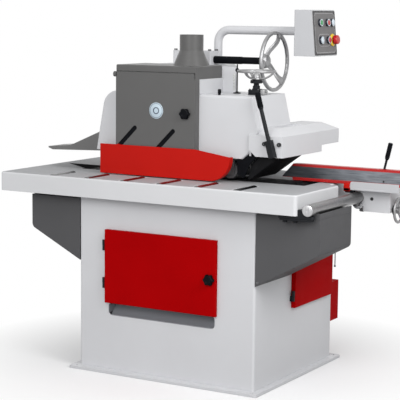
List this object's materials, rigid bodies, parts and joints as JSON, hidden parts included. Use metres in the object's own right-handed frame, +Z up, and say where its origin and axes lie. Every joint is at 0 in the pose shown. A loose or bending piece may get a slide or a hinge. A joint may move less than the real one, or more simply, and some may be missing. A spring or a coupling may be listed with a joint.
{
  "type": "single blade rip saw",
  "caption": "Straight-line rip saw: cabinet, cast table with feed chain, overhead arbor and blade, press rollers, anti-kickback fingers, dust hood, sliding fence and swinging control box.",
  "frame": {"origin": "centre of the cabinet's base on the floor", "axes": "+X towards the infeed end, -Y the operator's front, +Z up"},
  "size_m": [1.92, 1.1399, 1.576],
  "materials": {
    "white_paint": "satin enamel",
    "table_iron": "ground top, painted skirt",
    "grey_paint": "satin enamel",
    "cover_grey": "satin enamel",
    "red_paint": "gloss enamel",
    "black_paint": "satin enamel",
    "motor_paint": "satin enamel",
    "box_grey": "satin enamel",
    "panel_grey": "matt",
    "steel": "machined",
    "blade_steel": "ground",
    "chrome": "bright",
    "chain_iron": "oiled",
    "machine_iron": "painted",
    "black_plastic": "moulded",
    "rubber_black": "matt",
    "green_plastic": "moulded",
    "red_plastic": "moulded"
  },
  "bodies": {
    "frame": {"base_plate": "white_paint", "cabinet": "white_paint", "front_recess": "cover_grey", "door_hinges": "black_paint", "rear_cover": "red_paint", "table": "table_iron", "feed_chain": "chain_iron", "feed_shafts": "steel", "chain_bed": "machine_iron", "feed_gear_motor": "motor_paint", "outfeed_chain_cover": "cover_grey", "infeed_chain_cover": "cover_grey", "column": "white_paint", "head_housing": "white_paint", "gear_block": "white_paint", "shaft_sleeve": "black_paint", "bearing_block": "black_paint", "dust_hood": "grey_paint", "kickback_hood": "white_paint", "outfeed_deflector": "grey_paint", "fence_rail": "steel", "rail_brackets": "black_paint"},
    "front_door": {"cabinet_door": "red_paint"},
    "front_knob": {"door_knob": "black_plastic"},
    "end_door": {"side_door": "red_paint"},
    "saw_unit": {"arbor_housing": "machine_iron", "arbor_bearings": "steel", "saw_motor": "motor_paint"},
    "arbor": {"arbor_shaft": "steel", "saw_blade": "blade_steel", "blade_clamp": "steel"},
    "lift_spindle": {"lift_screw": "steel"},
    "lift_wheel": {"arbor_wheel": "chrome"},
    "infeed_carriage": {"infeed_press": "machine_iron", "thickness_rod": "chrome"},
    "outfeed_carriage": {"outfeed_press": "machine_iron"},
    "infeed_press_roller": {"infeed_roller": "rubber_black"},
    "outfeed_press_roller": {"outfeed_roller": "rubber_black"},
    "press_spindle": {"press_wheel": "chrome"},
    "hood_front": {"hood_door": "grey_paint"},
    "hood_clamp": {"hood_knob": "black_plastic"},
    "guard": {"blade_guard": "red_paint"},
    "finger_unit": {"kickback_lever": "black_paint", "finger_row": "chain_iron"},
    "fence_unit": {"fence_carriage": "white_paint", "fence": "red_paint"},
    "fence_lock": {"fence_lever": "black_paint"},
    "fence_drive": {"fence_wheel": "black_plastic"},
    "pendant": {"pendant_pipe": "white_paint", "control_box": "box_grey", "control_panel": "panel_grey"},
    "start_push": {"start_button": "green_plastic"},
    "stop_push": {"stop_button": "red_plastic"},
    "estop_push": {"estop_button": "red_plastic"},
    "idle_roller_1": {"table_roller_1": "chrome"},
    "idle_roller_2": {"table_roller_2": "chrome"},
    "idle_roller_3": {"table_roller_3": "chrome"},
    "idle_roller_4": {"table_roller_4": "chrome"},
    "idle_roller_5": {"table_roller_5": "chrome"},
    "idle_roller_6": {"table_roller_6": "chrome"}
  },
  "joints": [
    {"name": "front_door_hinge", "type": "hinge", "parent": "frame", "child": "front_door", "pos_m": [-0.301, -0.382, 0.468], "axis": [0, 0, -1], "range_deg": [0, 105]},
    {"name": "front_knob_turn", "type": "hinge", "parent": "front_door", "child": "front_knob", "pos_m": [0.23, -0.3885, 0.463], "axis": [0, 1, 0], "range_deg": [0, 90]},
    {"name": "end_door_hinge", "type": "hinge", "parent": "frame", "child": "end_door", "pos_m": [0.449, -0.045, 0.434], "axis": [0, 0, -1], "range_deg": [0, 90]},
    {"name": "arbor_lift", "type": "slide", "parent": "frame", "child": "saw_unit", "axis": [0, 0, 1], "range_m": [0, 0.045]},
    {"name": "lift_spindle_turn", "type": "hinge", "parent": "frame", "child": "lift_spindle", "pos_m": [-0.214, 0.14, 1.2], "axis": [0, 0, 1], "range_deg": [-5, 3260]},
    {"name": "lift_wheel_turn", "type": "hinge", "parent": "frame", "child": "lift_wheel", "pos_m": [0, 0.14, 1.351], "axis": [1, 0, 0], "range_deg": [-5, 3260]},
    {"name": "arbor_spin", "type": "hinge", "parent": "saw_unit", "child": "arbor", "pos_m": [-0.135, -0.0475, 0.9993], "axis": [0, 1, 0], "continuous": true},
    {"name": "press_lift", "type": "slide", "parent": "frame", "child": "infeed_carriage", "axis": [0, 0, 1], "range_m": [0, 0.08]},
    {"name": "press_spindle_turn", "type": "hinge", "parent": "frame", "child": "press_spindle", "pos_m": [0.275, -0.083, 1.25], "axis": [0, 0, 1], "range_deg": [-5, 5780]},
    {"name": "outfeed_press_lift", "type": "slide", "parent": "frame", "child": "outfeed_carriage", "axis": [0, 0, 1], "range_m": [0, 0.025], "stiffness_N_per_m": 4000},
    {"name": "infeed_roller_spin", "type": "hinge", "parent": "infeed_carriage", "child": "infeed_press_roller", "pos_m": [0.194, -0.05, 0.898], "axis": [0, 1, 0], "continuous": true},
    {"name": "outfeed_roller_spin", "type": "hinge", "parent": "outfeed_carriage", "child": "outfeed_press_roller", "pos_m": [-0.336, -0.05, 0.898], "axis": [0, 1, 0], "continuous": true},
    {"name": "hood_front_hinge", "type": "hinge", "parent": "frame", "child": "hood_front", "pos_m": [-0.14, -0.222, 1.291], "axis": [-1, 0, 0], "range_deg": [0, 100]},
    {"name": "hood_clamp_turn", "type": "hinge", "parent": "hood_front", "child": "hood_clamp", "pos_m": [0.015, -0.232, 1.132], "axis": [0, 1, 0], "range_deg": [0, 180]},
    {"name": "guard_slide", "type": "slide", "parent": "hood_front", "child": "guard", "axis": [0.7071, 0, 0.7071], "range_m": [0, 0.112]},
    {"name": "finger_release", "type": "hinge", "parent": "frame", "child": "finger_unit", "pos_m": [0.424, -0.22, 0.985], "axis": [0, 1, 0], "range_deg": [0, 12]},
    {"name": "fence_slide", "type": "slide", "parent": "frame", "child": "fence_unit", "axis": [0, 1, 0], "range_m": [-0.055, 0.155]},
    {"name": "fence_drive_turn", "type": "hinge", "parent": "fence_unit", "child": "fence_drive", "pos_m": [0.8, 0.11, 0.746], "axis": [1, 0, 0], "range_deg": [-200, 560]},
    {"name": "fence_lock_turn", "type": "hinge", "parent": "fence_unit", "child": "fence_lock", "pos_m": [0.811, 0.043, 0.904], "axis": [0, 1, 0], "range_deg": [-35, 0]},
    {"name": "pendant_swivel", "type": "hinge", "parent": "frame", "child": "pendant", "pos_m": [-0.092, 0.232, 1.34], "axis": [0, 0, 1], "range_deg": [0, 70]},
    {"name": "start_press", "type": "slide", "parent": "pendant", "child": "start_push", "axis": [-0.9959, 0, -0.0905], "range_m": [0, 0.004], "stiffness_N_per_m": 400},
    {"name": "stop_press", "type": "slide", "parent": "pendant", "child": "stop_push", "axis": [-0.9959, 0, -0.0905], "range_m": [0, 0.004], "stiffness_N_per_m": 400},
    {"name": "estop_press", "type": "slide", "parent": "pendant", "child": "estop_push", "axis": [-0.9959, 0, -0.0905], "range_m": [0, 0.005], "stiffness_N_per_m": 500},
    {"name": "idle_roller_1_spin", "type": "hinge", "parent": "frame", "child": "idle_roller_1", "pos_m": [-0.55, -0.3385, 0.834], "axis": [0, 1, 0], "continuous": true},
    {"name": "idle_roller_2_spin", "type": "hinge", "parent": "frame", "child": "idle_roller_2", "pos_m": [-0.367, -0.3385, 0.834], "axis": [0, 1, 0], "continuous": true},
    {"name": "idle_roller_3_spin", "type": "hinge", "parent": "frame", "child": "idle_roller_3", "pos_m": [-0.184, -0.3385, 0.834], "axis": [0, 1, 0], "continuous": true},
    {"name": "idle_roller_4_spin", "type": "hinge", "parent": "frame", "child": "idle_roller_4", "pos_m": [-0.001, -0.3385, 0.834], "axis": [0, 1, 0], "continuous": true},
    {"name": "idle_roller_5_spin", "type": "hinge", "parent": "frame", "child": "idle_roller_5", "pos_m": [0.182, -0.3385, 0.834], "axis": [0, 1, 0], "continuous": true},
    {"name": "idle_roller_6_spin", "type": "hinge", "parent": "frame", "child": "idle_roller_6", "pos_m": [0.365, -0.3385, 0.834], "axis": [0, 1, 0], "continuous": true}
  ],
  "couplings": [
    {"joint": "lift_spindle_turn", "follows": "arbor_lift", "rad_per_m": 1256.6},
    {"joint": "lift_wheel_turn", "follows": "arbor_lift", "rad_per_m": 1256.6},
    {"joint": "press_spindle_turn", "follows": "press_lift", "rad_per_m": 1256.6},
    {"joint": "fence_drive_turn", "follows": "fence_slide", "rad_per_m": 62.5}
  ]
}
